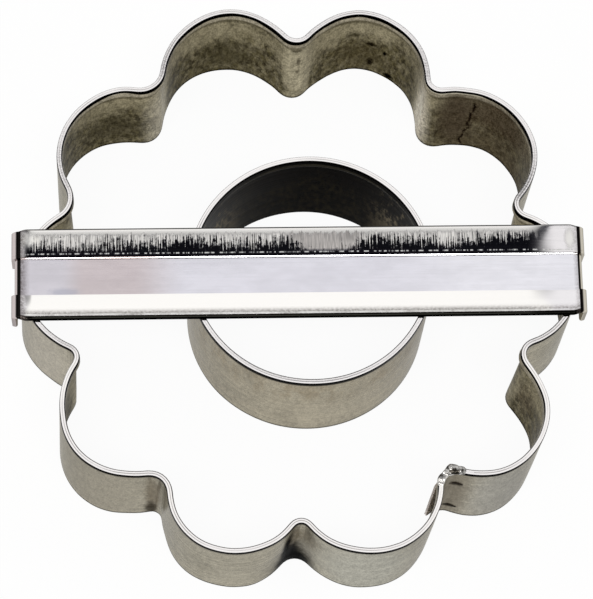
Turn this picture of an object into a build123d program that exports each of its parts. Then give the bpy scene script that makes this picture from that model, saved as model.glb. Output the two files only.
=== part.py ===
from build123d import *
import os
from math import atan2, cos, degrees, radians, sin, sqrt

os.makedirs("parts", exist_ok=True)

# Sheet and folds, in mm. Origin: middle of the flower, on the cutting edge.
sheet = 0.35            # thickness of the tinned strip
fold_gap = 0.1          # space left inside a folded edge
rim_fold = 2.2          # depth of the fold along a rim
rim_round = 0.3         # rounding of a folded rim
lap_gap = 0.05          # space between the two layers of a lapped seam
slit_gap = 0.15         # space between the two folded rims that meet at a seam
tuck = 0.2              # how far a lapped tail stays below the fold
rim = 2 * sheet + fold_gap
lap = 2 * sheet + lap_gap
cutter_height = 25.0    # cutting edge to rim, the same for the flower and the ring

# Scalloped band
lobe_count = 10
lobe_radius = 10.7      # outer face
notch_radius = 2.4      # outer face
lobe_reach_x = 44.2     # half axes of the oval that the lobe tips lie on
lobe_reach_y = 46.2
end_reach = 43.2        # the two lobes under the tabs are pressed in to here

# Seam of the band, in the notch after lobe 8, angles about the next lobe's centre
seam_notch = 8
slit_turn = 12.0        # from the start of that lobe to the slit
joggle_turn = 5.0       # step inward, beyond the slit
spring_turn = 14.0      # how much the free end springs away
tail_end = 3.0          # straight free end
weld_turn = 4.5
weld_low = 4.0
weld_high = 18.4
weld_length = 1.5
weld_width = 0.45

# Solder lump on the band's seam
lump_before = 8.0       # degrees of the lobe before the notch
lump_after = 15.0       # degrees of the lobe after it
lump_skin = 0.2
lump_top = 0.35
lump_drop = 1.0
lump_round = 0.25

# Inner ring
ring_radius = 18.8      # outer face
ring_x = 1.8
ring_y = 0.8
ring_slit = 180.0       # bearing of the slit, under the strap
ring_lap_turn = 15.0
ring_joggle_turn = 4.0

# Strap handle
strap_width = 14.8
strap_y = 0.15
rear_fold = 4.75
front_fold = 3.9
fold_lift = 4.0         # degrees that a folded edge rises towards its free side
tab_drop = 3.9          # straight part of the tab, below the bend
tab_corner = 1.1
solder_film = 0.08      # between tab and lobe
solder_fit = 0.02       # between a solder wedge and the lobe it lies on

# Solder on the strap
wedge_half = 3.2        # half length of the wedge behind a tab
wedge_end = 0.4         # how far it stops above the end of the tab
bead = 0.9
bead_turn = 24.0

fold_radius = rim / 2
tab_face = end_reach + solder_film
bend_start = tab_face - rim_round
strap_half = strap_width / 2
weld_heights = {"lower": weld_low, "upper": weld_high}


def on_circle(centre, radius, turn):
    return centre + Vector(radius * cos(radians(turn)), radius * sin(radians(turn)))


def bearing(origin, target):
    return degrees(atan2(target.Y - origin.Y, target.X - origin.X))


def lobe_centre(k):
    turn = radians(360 * k / lobe_count)
    reach_x = end_reach if k % (lobe_count // 2) == 0 else lobe_reach_x
    return Vector((reach_x - lobe_radius) * cos(turn), (lobe_reach_y - lobe_radius) * sin(turn))


def notch_centre(k):
    first = lobe_centre(k)
    second = lobe_centre(k + 1)
    step = second - first
    outward = Vector(step.Y, -step.X).normalized()
    reach = lobe_radius + notch_radius
    return (first + second) * 0.5 + outward * sqrt(reach**2 - step.length**2 / 4)


def notch_arc(k, inset, trim=0.0):
    centre = notch_centre(k)
    start = bearing(centre, lobe_centre(k))
    sweep = (bearing(centre, lobe_centre(k + 1)) - start) % 360 - 360
    CenterArc(centre, notch_radius + inset, start - trim, sweep + trim)


def scallop(inset):
    for k in range(lobe_count):
        centre = lobe_centre(k)
        start = bearing(centre, notch_centre(k - 1))
        sweep = (bearing(centre, notch_centre(k)) - start) % 360
        CenterArc(centre, lobe_radius - inset, start, sweep)
        notch_arc(k, inset)


def scallop_wall(outer, inner, z):
    with BuildSketch(Plane.XY.offset(z)) as plan:
        with BuildLine():
            scallop(outer)
        make_face()
        with BuildLine():
            scallop(inner)
        make_face(mode=Mode.SUBTRACT)
    return plan.sketch


def sector(centre, outer, inner, start, sweep, z):
    with BuildSketch(Plane.XY.offset(z)) as plan:
        with BuildLine():
            CenterArc(centre, outer, start, sweep)
            CenterArc(centre, inner, start, sweep)
            for turn in (start, start + sweep):
                Line(on_circle(centre, outer, turn), on_circle(centre, inner, turn))
        make_face()
    return plan.sketch


def slit(centre, radius, turn):
    mouth = Plane(origin=centre, x_dir=on_circle(Vector(), 1, turn), z_dir=(0, 0, 1))
    with BuildSketch(mouth) as plan:
        with Locations((radius - rim / 2, 0)):
            Rectangle(2 * rim, slit_gap)
    return plan.sketch


def weld_face(centre, radius, turn, z):
    outward = on_circle(Vector(), 1, turn)
    along = on_circle(Vector(), 1, turn + 90)
    spot = Plane(origin=on_circle(centre, radius, turn) + Vector(0, 0, z), x_dir=along, z_dir=outward)
    with BuildSketch(spot) as plan:
        SlotOverall(weld_length, weld_width)
    return plan.sketch


def seam_patch(outer, inner, z):
    before = lobe_centre(seam_notch)
    after = lobe_centre(seam_notch + 1)
    notch = notch_centre(seam_notch)
    first = bearing(before, notch) - lump_before
    last = bearing(after, notch)
    with BuildSketch(Plane.XY.offset(z)) as plan:
        with BuildLine():
            for inset in (outer, inner):
                CenterArc(before, lobe_radius - inset, first, lump_before)
                notch_arc(seam_notch, inset)
                CenterArc(after, lobe_radius - inset, last, lump_after)
            Line(on_circle(before, lobe_radius - outer, first), on_circle(before, lobe_radius - inner, first))
            ends = [on_circle(after, lobe_radius - inset, last + lump_after) for inset in (outer, inner)]
            Line(ends[0], ends[1])
        make_face()
    return plan.sketch


def band_tail(z):
    after = lobe_centre(seam_notch + 1)
    notch = notch_centre(seam_notch)
    leave = bearing(notch, lobe_centre(seam_notch)) - spring_turn
    start = bearing(after, notch)
    tips = []
    roots = []
    with BuildSketch(Plane.XY.offset(z)) as plan:
        with BuildLine():
            for inset in (sheet + lap_gap, lap):
                foot = on_circle(notch, notch_radius + inset, leave)
                tips.append(on_circle(foot, tail_end, leave + 90))
                roots.append(on_circle(after, lobe_radius - inset, start + slit_turn + joggle_turn))
                Line(tips[-1], foot)
                notch_arc(seam_notch, inset, spring_turn)
                CenterArc(after, lobe_radius - inset, start, slit_turn + joggle_turn)
            Line(tips[0], tips[1])
            Line(roots[0], roots[1])
        make_face()
    return plan.sketch


# Outer band: wall, folded rim, slit, lapped tail, weld holes
fold_top = cutter_height - sheet
fold_foot = cutter_height - rim_fold
tail_height = fold_foot - tuck
seam_lobe = lobe_centre(seam_notch + 1)
seam_start = bearing(seam_lobe, notch_centre(seam_notch))

with BuildPart() as outer_band:
    extrude(scallop_wall(0, sheet, 0), amount=fold_top, dir=(0, 0, 1))
    extrude(scallop_wall(0, rim, fold_top), amount=sheet, dir=(0, 0, 1))
    extrude(scallop_wall(sheet + fold_gap, rim, fold_foot), amount=rim_fold - sheet, dir=(0, 0, 1))
    fillet(outer_band.faces().sort_by(Axis.Z)[-1].edges(), radius=rim_round)
    extrude(
        slit(seam_lobe, lobe_radius, seam_start + slit_turn),
        amount=cutter_height,
        dir=(0, 0, 1),
        mode=Mode.SUBTRACT,
    )
    extrude(band_tail(0), amount=tail_height, dir=(0, 0, 1))
    step_start = seam_start + slit_turn + degrees(slit_gap / lobe_radius)
    step_turn = joggle_turn - degrees(slit_gap / lobe_radius)
    extrude(
        sector(seam_lobe, lobe_radius - sheet / 2, lobe_radius - lap, step_start, step_turn, 0),
        amount=tail_height,
        dir=(0, 0, 1),
    )
    for height in weld_heights.values():
        extrude(
            weld_face(seam_lobe, lobe_radius, seam_start + weld_turn, height),
            amount=2 * lap,
            both=True,
            mode=Mode.SUBTRACT,
        )
outer_band.part.label = "outer_band"
export_step(outer_band.part, "parts/outer_band.step")

for place, height in weld_heights.items():
    with BuildPart() as band_weld:
        extrude(weld_face(seam_lobe, lobe_radius, seam_start + weld_turn, height), amount=-lap)
    band_weld.part.label = "band_weld_" + place
    export_step(band_weld.part, "parts/band_weld_" + place + ".step")

# Solder lump that closes the two folded rims over the band's seam
with BuildPart() as band_seam_solder:
    extrude(
        seam_patch(-lump_skin, rim + lump_skin, cutter_height - lump_drop),
        amount=lump_drop + lump_top,
        dir=(0, 0, 1),
    )
    fillet(band_seam_solder.faces().sort_by(Axis.Z)[-1].edges(), radius=lump_round)
    extrude(
        seam_patch(0, rim, cutter_height - lump_drop),
        amount=lump_drop - sheet,
        dir=(0, 0, 1),
        mode=Mode.SUBTRACT,
    )
    add(outer_band.part, mode=Mode.SUBTRACT)
band_seam_solder.part.label = "band_seam_solder"
export_step(band_seam_solder.part, "parts/band_seam_solder.step")

# Inner ring: wall, folded rim, slit, lapped tail, weld holes
ring_centre = Vector(ring_x, ring_y)
ring_weld_turn = ring_slit - ring_lap_turn / 2


def ring_wall(outer, inner, z):
    with BuildSketch(Plane(origin=(ring_x, ring_y, z))) as plan:
        Circle(ring_radius - outer)
        Circle(ring_radius - inner, mode=Mode.SUBTRACT)
    return plan.sketch


with BuildPart() as inner_ring:
    extrude(ring_wall(0, sheet, 0), amount=fold_top, dir=(0, 0, 1))
    extrude(ring_wall(0, rim, fold_top), amount=sheet, dir=(0, 0, 1))
    extrude(ring_wall(sheet + fold_gap, rim, fold_foot), amount=rim_fold - sheet, dir=(0, 0, 1))
    fillet(inner_ring.faces().sort_by(Axis.Z)[-1].edges(), radius=rim_round)
    extrude(
        slit(ring_centre, ring_radius, ring_slit),
        amount=cutter_height,
        dir=(0, 0, 1),
        mode=Mode.SUBTRACT,
    )
    tail_start = ring_slit - ring_lap_turn
    tail_turn = ring_lap_turn + ring_joggle_turn
    extrude(
        sector(ring_centre, ring_radius - sheet - lap_gap, ring_radius - lap, tail_start, tail_turn, 0),
        amount=tail_height,
        dir=(0, 0, 1),
    )
    step_start = ring_slit + degrees(slit_gap / ring_radius)
    step_turn = ring_joggle_turn - degrees(slit_gap / ring_radius)
    extrude(
        sector(ring_centre, ring_radius - sheet / 2, ring_radius - lap, step_start, step_turn, 0),
        amount=tail_height,
        dir=(0, 0, 1),
    )
    for height in weld_heights.values():
        extrude(
            weld_face(ring_centre, ring_radius, ring_weld_turn, height),
            amount=2 * lap,
            both=True,
            mode=Mode.SUBTRACT,
        )
inner_ring.part.label = "inner_ring"
export_step(inner_ring.part, "parts/inner_ring.step")

for place, height in weld_heights.items():
    with BuildPart() as ring_weld:
        extrude(weld_face(ring_centre, ring_radius, ring_weld_turn, height), amount=-lap)
    ring_weld.part.label = "ring_weld_" + place
    export_step(ring_weld.part, "parts/ring_weld_" + place + ".step")


# Strap handle: cross-section in Y and Z, run along X, round the bend and down the tab
def fold_point(side, radius, turn):
    spot = on_circle(Vector(strap_half - fold_radius, fold_radius), radius, turn)
    return Vector(side * spot.X, spot.Y)


def fold_profile(side, width):
    top = 90 - fold_lift
    run = Vector(-side * cos(radians(fold_lift)), sin(radians(fold_lift))) * (width - fold_radius)
    inner = fold_radius - sheet
    ThreePointArc(
        fold_point(side, fold_radius, -90),
        fold_point(side, fold_radius, 0),
        fold_point(side, fold_radius, top),
    )
    ThreePointArc(fold_point(side, inner, -90), fold_point(side, inner, 0), fold_point(side, inner, top))
    Line(fold_point(side, fold_radius, top), fold_point(side, fold_radius, top) + run)
    Line(fold_point(side, inner, top), fold_point(side, inner, top) + run)
    Line(fold_point(side, fold_radius, top) + run, fold_point(side, inner, top) + run)


def strap_profile(plane):
    with BuildSketch(plane) as section:
        with BuildLine():
            fold_profile(1, rear_fold)
            fold_profile(-1, front_fold)
            for radius in (fold_radius, fold_radius - sheet):
                Line(fold_point(1, radius, -90), fold_point(-1, radius, -90))
        make_face()
    return section.sketch


bend_z = cutter_height - rim_round
run_plane = Plane(origin=(0, strap_y, cutter_height), x_dir=(0, 1, 0), z_dir=(1, 0, 0))
bend_plane = run_plane.offset(bend_start)
tab_plane = Plane(origin=(tab_face, strap_y, bend_z), x_dir=(0, 1, 0), z_dir=(0, 0, -1))

with BuildPart() as handle_strap:
    extrude(strap_profile(run_plane), amount=bend_start, dir=(1, 0, 0))
    revolve(strap_profile(bend_plane), axis=Axis((bend_start, 0, bend_z), (0, 1, 0)), revolution_arc=90)
    extrude(strap_profile(tab_plane), amount=tab_drop, dir=(0, 0, -1))
    with BuildSketch(Plane(origin=(0, strap_y, bend_z - tab_drop), x_dir=(0, 1, 0), z_dir=(1, 0, 0))):
        with Locations((0, cutter_height)):
            RectangleRounded(strap_width, 2 * cutter_height, tab_corner)
    extrude(amount=2 * end_reach, mode=Mode.INTERSECT)
    mirror(about=Plane.YZ)
handle_strap.part.label = "handle_strap"
export_step(handle_strap.part, "parts/handle_strap.step")

# Solder wedges behind the tabs, and solder beads under the strap along the ring's rim
wedge_foot = bend_z - tab_drop + wedge_end

for side, name in ((-1, "left"), (1, "right")):
    with BuildPart() as tab_solder:
        with BuildSketch(Plane.XY.offset(wedge_foot)):
            with Locations((side * (tab_face - rim), 0)):
                Rectangle(2 * rim, 2 * wedge_half)
            with Locations((side * (end_reach - lobe_radius), 0)):
                Circle(lobe_radius + solder_fit, mode=Mode.SUBTRACT)
        extrude(amount=bend_z - wedge_foot)
    tab_solder.part.label = "tab_solder_" + name
    export_step(tab_solder.part, "parts/tab_solder_" + name + ".step")

for middle, name in ((180, "left"), (0, "right")):
    spoke = on_circle(Vector(), 1, middle - bead_turn / 2)
    with BuildPart() as ring_solder:
        with BuildSketch(Plane(origin=ring_centre, x_dir=spoke, z_dir=(spoke.Y, -spoke.X, 0))):
            with BuildLine():
                Polyline(
                    (ring_radius - rim_round, cutter_height),
                    (ring_radius + bead, cutter_height),
                    (ring_radius, cutter_height - bead),
                    (ring_radius - sheet / 2, cutter_height - bead),
                    close=True,
                )
            make_face()
        revolve(axis=Axis(ring_centre, (0, 0, 1)), revolution_arc=bead_turn)
        add(inner_ring.part, mode=Mode.SUBTRACT)
    ring_solder.part.label = "ring_solder_" + name
    export_step(ring_solder.part, "parts/ring_solder_" + name + ".step")
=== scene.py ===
from bisect import bisect_right
from math import atan2, cos, exp, pi, radians, sin, sqrt
import bpy
from mathutils import Matrix, Vector, noise


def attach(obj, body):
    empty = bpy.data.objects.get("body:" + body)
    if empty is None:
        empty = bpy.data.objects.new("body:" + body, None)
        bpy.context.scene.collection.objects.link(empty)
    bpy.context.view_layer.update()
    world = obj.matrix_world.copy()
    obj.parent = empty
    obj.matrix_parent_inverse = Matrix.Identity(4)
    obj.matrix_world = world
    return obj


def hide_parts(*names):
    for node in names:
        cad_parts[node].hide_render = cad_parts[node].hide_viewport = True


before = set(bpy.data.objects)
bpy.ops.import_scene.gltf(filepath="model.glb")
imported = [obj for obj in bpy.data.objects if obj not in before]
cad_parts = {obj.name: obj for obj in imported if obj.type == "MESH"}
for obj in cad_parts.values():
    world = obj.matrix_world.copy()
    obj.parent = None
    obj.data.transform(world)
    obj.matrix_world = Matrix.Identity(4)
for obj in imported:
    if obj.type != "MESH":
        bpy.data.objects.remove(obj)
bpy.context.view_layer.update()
scene = bpy.context.scene
scene.view_settings.view_transform = "Standard"
mm = 0.001
print("frame loaded,", len(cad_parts), "nodes")


# Small helpers for shapes, all in mm
def wave(a, b, seed):
    return noise.noise(Vector((a, b, seed)))


def ease(value, low, high):
    t = min(max((value - low) / (high - low), 0.0), 1.0)
    return t * t * (3 - 2 * t)


def bump(value, middle, width):
    return exp(-((value - middle) / width) ** 2)


# Rises from 0 at one end and falls to 0 at the other
def endsEased(share, end):
    return ease(share, 0.0, end) * ease(1 - share, 0.0, end)


# Evenly spaced values over a run, both ends kept
def steps(first, run, count):
    return [first + run * i / count for i in range(count + 1)]


def runLengths(points):
    runs = [0.0]
    for a, b in zip(points, points[1:] + points[:1]):
        runs.append(runs[-1] + (b - a).length)
    return runs


def newSkin():
    return {"verts": [], "faces": [], "map": [], "notch": []}


# Loops of points, one after another, become a closed skin; the map keeps mm along and across the strip
def addLoft(skin, rows, alongs, acrosses, notches=None):
    first = len(skin["verts"])
    count = len(rows[0])
    for i, row in enumerate(rows):
        skin["verts"] += [p * mm for p in row]
        skin["notch"] += [notches[i] if notches else 0.0] * count
    for i in range(len(rows) - 1):
        for j in range(count):
            k = (j + 1) % count
            a = first + i * count
            b = a + count
            skin["faces"].append((a + j, b + j, b + k, a + k))
            low, high = acrosses[j], acrosses[j + 1]
            skin["map"] += [(alongs[i], low), (alongs[i + 1], low), (alongs[i + 1], high), (alongs[i], high)]
    last = first + (len(rows) - 1) * count
    skin["faces"].append(tuple(range(first, first + count)))
    skin["map"] += [(alongs[0], acrosses[j]) for j in range(count)]
    skin["faces"].append(tuple(range(last + count - 1, last - 1, -1)))
    skin["map"] += [(alongs[-1], acrosses[j]) for j in range(count - 1, -1, -1)]


def makePiece(name, skin, material, node, sharpAngle=38):
    mesh = bpy.data.meshes.new(name)
    mesh.from_pydata(skin["verts"], [], skin["faces"])
    strip = mesh.uv_layers.new(name="strip")
    strip.data.foreach_set("uv", [x for pair in skin["map"] for x in pair])
    notch = mesh.attributes.new("notch", "FLOAT", "POINT")
    notch.data.foreach_set("value", skin["notch"])
    mesh.polygons.foreach_set("use_smooth", [True] * len(mesh.polygons))
    mesh.set_sharp_from_angle(angle=radians(sharpAngle))
    mesh.materials.append(material)
    piece = bpy.data.objects.new(name, mesh)
    scene.collection.objects.link(piece)
    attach(piece, "root")
    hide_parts(node)
    print("made", name, len(mesh.polygons), "faces")


# A piece that is one loft, measured round one of its loops
def loftPiece(name, rows, runs, loop, material, node, sharpAngle=38):
    skin = newSkin()
    addLoft(skin, rows, runs, runLengths(loop))
    makePiece(name, skin, material, node, sharpAngle)


# Rounds off a closed line of evenly spaced points
def softened(points, softening, pitch):
    reach = int(3 * softening / pitch)
    weights = [exp(-0.5 * (i * pitch / softening) ** 2) for i in range(-reach, reach + 1)]
    share = sum(weights)
    count = len(points)
    soft = []
    for i in range(count):
        place = Vector((0.0, 0.0))
        for k, weight in enumerate(weights):
            place += points[(i + k - reach) % count] * (weight / share)
        soft.append(place)
    return soft


def headings(points):
    count = len(points)
    return [(points[(i + 1) % count] - points[i - 1]).normalized() for i in range(count)]


# Pushes a closed line outward by amounts spread evenly along it
def pushed(points, pushes):
    count, knots = len(points), len(pushes)
    moved = []
    for i, (point, ahead) in enumerate(zip(points, headings(points))):
        k, t = divmod(i * knots / count, 1)
        a, b, c, d = [pushes[(int(k) + j) % knots] for j in (-1, 0, 1, 2)]
        push = b + 0.5 * t * (c - a + t * (2 * a - 5 * b + 4 * c - d + t * (3 * (b - c) + d - a)))
        moved.append(point + Vector((ahead.y, -ahead.x)) * push)
    return moved


# A foot line and a rim line become a wall: distance along it gives both places and both outward directions
def closedWall(foot, rim, origin):
    count = len(foot)
    runs = runLengths([a.lerp(b, 0.5) for a, b in zip(foot, rim)])
    total = runs[-1]
    lines = [(foot, headings(foot)), (rim, headings(rim))]

    def at(along):
        run = (along + origin) % total
        i = min(bisect_right(runs, run) - 1, count - 1)
        k = (i + 1) % count
        t = (run - runs[i]) / (runs[i + 1] - runs[i])
        spots = []
        for line, heading in lines:
            ahead = heading[i].lerp(heading[k], t).normalized()
            spots.append((line[i].lerp(line[k], t), Vector((ahead.y, -ahead.x))))
        return spots

    return at, runs


def wallPoint(spots, inset, z):
    (foot, footOut), (rim, rimOut) = spots
    share = z / hem["height"]
    place = foot.lerp(rim, share) - footOut.lerp(rimOut, share) * inset
    return Vector((place.x, place.y, z))


# One loop round a lapped tail: up its outer face, down its inner face
def tailLoop(spots, inset, low, high, leanAt):
    heights = steps(low, high - low, hem["tailLevels"])
    loop = [wallPoint(spots, inset + leanAt(z), z) for z in heights]
    return loop + [wallPoint(spots, inset + hem["sheet"] + leanAt(z), z) for z in heights[::-1]]


def arcPoints(centre, radius, start, sweep, count):
    return [centre + radius * Vector((cos(turn), sin(turn))) for turn in steps(start, sweep, count)[:-1]]


# Helpers for materials; new nodes go into the tree that was opened last
opened = {}


def openTree(holder):
    holder.use_nodes = True
    opened["tree"] = holder.node_tree
    return holder.node_tree.nodes


def put(kind, **settings):
    node = opened["tree"].nodes.new(kind)
    for key, value in settings.items():
        setattr(node, key, value)
    return node


def join(value, socket):
    if isinstance(value, bpy.types.NodeSocket):
        opened["tree"].links.new(value, socket)
    else:
        socket.default_value = value


def calc(operation, first, second=0.0):
    node = put("ShaderNodeMath", operation=operation)
    join(first, node.inputs[0])
    join(second, node.inputs[1])
    return node.outputs[0]


def times(first, *others):
    for other in others:
        first = calc("MULTIPLY", first, other)
    return first


def plus(first, second):
    return calc("ADD", first, second)


def minus(first, second):
    return calc("SUBTRACT", first, second)


def larger(first, second):
    return calc("MAXIMUM", first, second)


def apart(first, second):
    return calc("ABSOLUTE", minus(first, second))


def between(value, low, high, lowest=0.0, highest=1.0):
    node = put("ShaderNodeMapRange", interpolation_type="SMOOTHSTEP")
    for given, socket in zip((value, low, high, lowest, highest), node.inputs):
        join(given, socket)
    return node.outputs[0]


# Rises over the first two places, falls over the last two
def window(value, start, full, fade, end):
    return times(between(value, start, full), between(value, end, fade))


def tint(amount, first, second, how="MIX"):
    node = put("ShaderNodeMix", data_type="RGBA", blend_type=how)
    join(amount, node.inputs[0])
    for value, socket in ((first, node.inputs[6]), (second, node.inputs[7])):
        join(value if isinstance(value, bpy.types.NodeSocket) else (*value, 1.0), socket)
    return node.outputs[2]


def shaded(colour, shade):
    return tint(1.0, colour, shade, "MULTIPLY")


def axes(vector):
    node = put("ShaderNodeSeparateXYZ")
    join(vector, node.inputs[0])
    return node.outputs


def onStrip(along, across, perAlong, perAcross, seed):
    place = put("ShaderNodeCombineXYZ")
    for value, socket in zip((times(along, perAlong), times(across, perAcross), seed), place.inputs):
        join(value, socket)
    return place.outputs[0]


def noiseAt(place, scale, detail, roughness=0.5):
    node = put("ShaderNodeTexNoise")
    for value, key in ((place, "Vector"), (scale, "Scale"), (detail, "Detail"), (roughness, "Roughness")):
        join(value, node.inputs[key])
    return node.outputs[0]


def grain(along, across, perAlong, perAcross, seed, detail=3.0, roughness=0.55):
    return noiseAt(onStrip(along, across, perAlong, perAcross, seed), 1.0, detail, roughness)


def lineGrain(along, perMm, seed, detail, roughness=0.55):
    return grain(along, 0.0, perMm, 1.0, seed, detail, roughness)


def pits(along, across, perMm, size, share, seed):
    cells = put("ShaderNodeTexVoronoi")
    join(onStrip(along, across, perMm, perMm, seed), cells.inputs["Vector"])
    cells.inputs["Scale"].default_value = 1.0
    pick = put("ShaderNodeSeparateColor")
    join(cells.outputs["Color"], pick.inputs[0])
    chosen = calc("LESS_THAN", pick.outputs[0], share)
    return times(chosen, between(cells.outputs["Distance"], size, size * 0.4))


# Soft stain round one place on the strip, its edge broken up by a noise
def spot(along, height, u, z, wide, tall, ragged):
    du, dz = calc("DIVIDE", minus(along, u), wide), calc("DIVIDE", minus(height, z), tall)
    square = plus(*[calc("POWER", calc("ABSOLUTE", d), 2.0) for d in (du, dz)])
    rough = grain(along, height, 1.6, 1.1, u + z, 4.0, 0.65)
    far = plus(calc("SQRT", square), times(minus(rough, 0.5), ragged))
    return between(far, 1.0, 0.25)


def newMaterial(name, edgeTint=1.0):
    material = bpy.data.materials.new(name)
    openTree(material).clear()
    shader = put("ShaderNodeBsdfPrincipled")
    shader.inputs["Metallic"].default_value = 1.0
    # tarnish shines little at flat angles
    shader.inputs["Specular Tint"].default_value = (edgeTint, edgeTint, edgeTint, 1.0)
    join(shader.outputs[0], put("ShaderNodeOutputMaterial").inputs[0])
    along, across = axes(put("ShaderNodeUVMap", uv_map="strip").outputs[0])[:2]
    height = times(axes(put("ShaderNodeTexCoord").outputs["Object"])[2], 1 / mm)
    return material, shader, along, across, height


# Last step of a material: its colour, its roughness, and a fine relief of that depth in m
def dress(shader, colour, roughness, relief, depth):
    node = put("ShaderNodeBump")
    node.inputs["Strength"].default_value = 1.0
    node.inputs["Distance"].default_value = depth
    join(relief, node.inputs["Height"])
    for value, key in ((colour, "Base Color"), (roughness, "Roughness"), (node.outputs[0], "Normal")):
        join(value, shader.inputs[key])


# Strip with its top edge folded inward: outer face up, over the rim, down the fold, down the inner face
hem = {
    "sheet": 0.35, "height": 25.0, "rimWidth": 0.9, "dome": 0.002, "tilt": 0.024,
    "outerRound": (0.07, 0.4), "innerRound": (0.09, 0.75),   # across and down, on both sides of the rim
    "foldDepth": 2.2, "foldGap": 0.1, "foldInside": (0.55, 0.45),   # the layers meet this far below the top
    "springFrom": (0.5, 0.7),   # above the fold's free edge it springs away less, outer and inner side
    "groove": 0.0015, "grooveAt": 0.42, "grooveWidth": 0.05,
    "edge": 0.04, "levels": 20, "roundSteps": 12, "crownSteps": 24, "tailLevels": 14,
}


# Points are inset, height, and how much of the fold's spring they take
def hemProfile():
    top, sheet, width = hem["height"], hem["sheet"], hem["rimWidth"]
    outWide, outTall = hem["outerRound"]
    inWide, inTall = hem["innerRound"]
    edge, foot = hem["edge"], top - hem["foldDepth"]
    side, tilt = top - hem["dome"], hem["tilt"]
    quarter = [radians(turn) for turn in steps(0.0, 90.0, hem["roundSteps"])]
    marks = {}
    points = [(sheet / 2, 0.0, 0.0), (edge, 0.0, 0.0)]
    points += [(0.0, z, 0.0) for z in steps(edge, side - outTall - edge, hem["levels"])[:-1]]
    marks["outerRound"] = len(points)
    points += [(outWide * (1 - cos(turn)), side - outTall + outTall * sin(turn), 0.0) for turn in quarter]
    marks["crown"] = len(points) - 1
    crown = width - outWide - inWide
    for share in steps(0.0, 1.0, hem["crownSteps"])[1:-1]:
        x = outWide + crown * share
        bow = hem["dome"] * (1 - (2 * share - 1) ** 2) - tilt * share
        points.append((x, side + bow - hem["groove"] * bump(x, hem["grooveAt"], hem["grooveWidth"]), 0.0))
    marks["crownEnd"] = len(points)
    for turn in quarter[::-1]:
        points.append((width - inWide + inWide * cos(turn), side - inTall + (inTall - tilt) * sin(turn), 0.0))
    marks["innerRound"] = len(points) - 1
    inner = width - sheet
    outUp, inUp = hem["springFrom"]
    points += [(width, foot + outUp, 0.6), (width, foot + 2 * edge, 1.0), (width - edge, foot, 1.0)]
    marks["foldFoot"] = len(points) - 1
    points += [(inner + edge, foot, 1.0), (inner, foot + edge, 1.0), (inner, foot + inUp, 0.5)]
    meet, close = [top - down for down in hem["foldInside"]]
    points += [(inner, meet, 0.0), (inner - hem["foldGap"] / 2, close, 0.0)]
    marks["inside"] = len(points)
    points += [(sheet, z, 0.0) for z in steps(meet, edge - meet, hem["levels"])]
    points.append((sheet - edge, 0.0, 0.0))
    return points, marks


profile, hemMarks = hemProfile()
hemRuns = runLengths([Vector((x, z)) for x, z, free in profile])
hemAt = {name: hemRuns[i] for name, i in hemMarks.items()}
insideFrom = hemAt["inside"]

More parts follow.
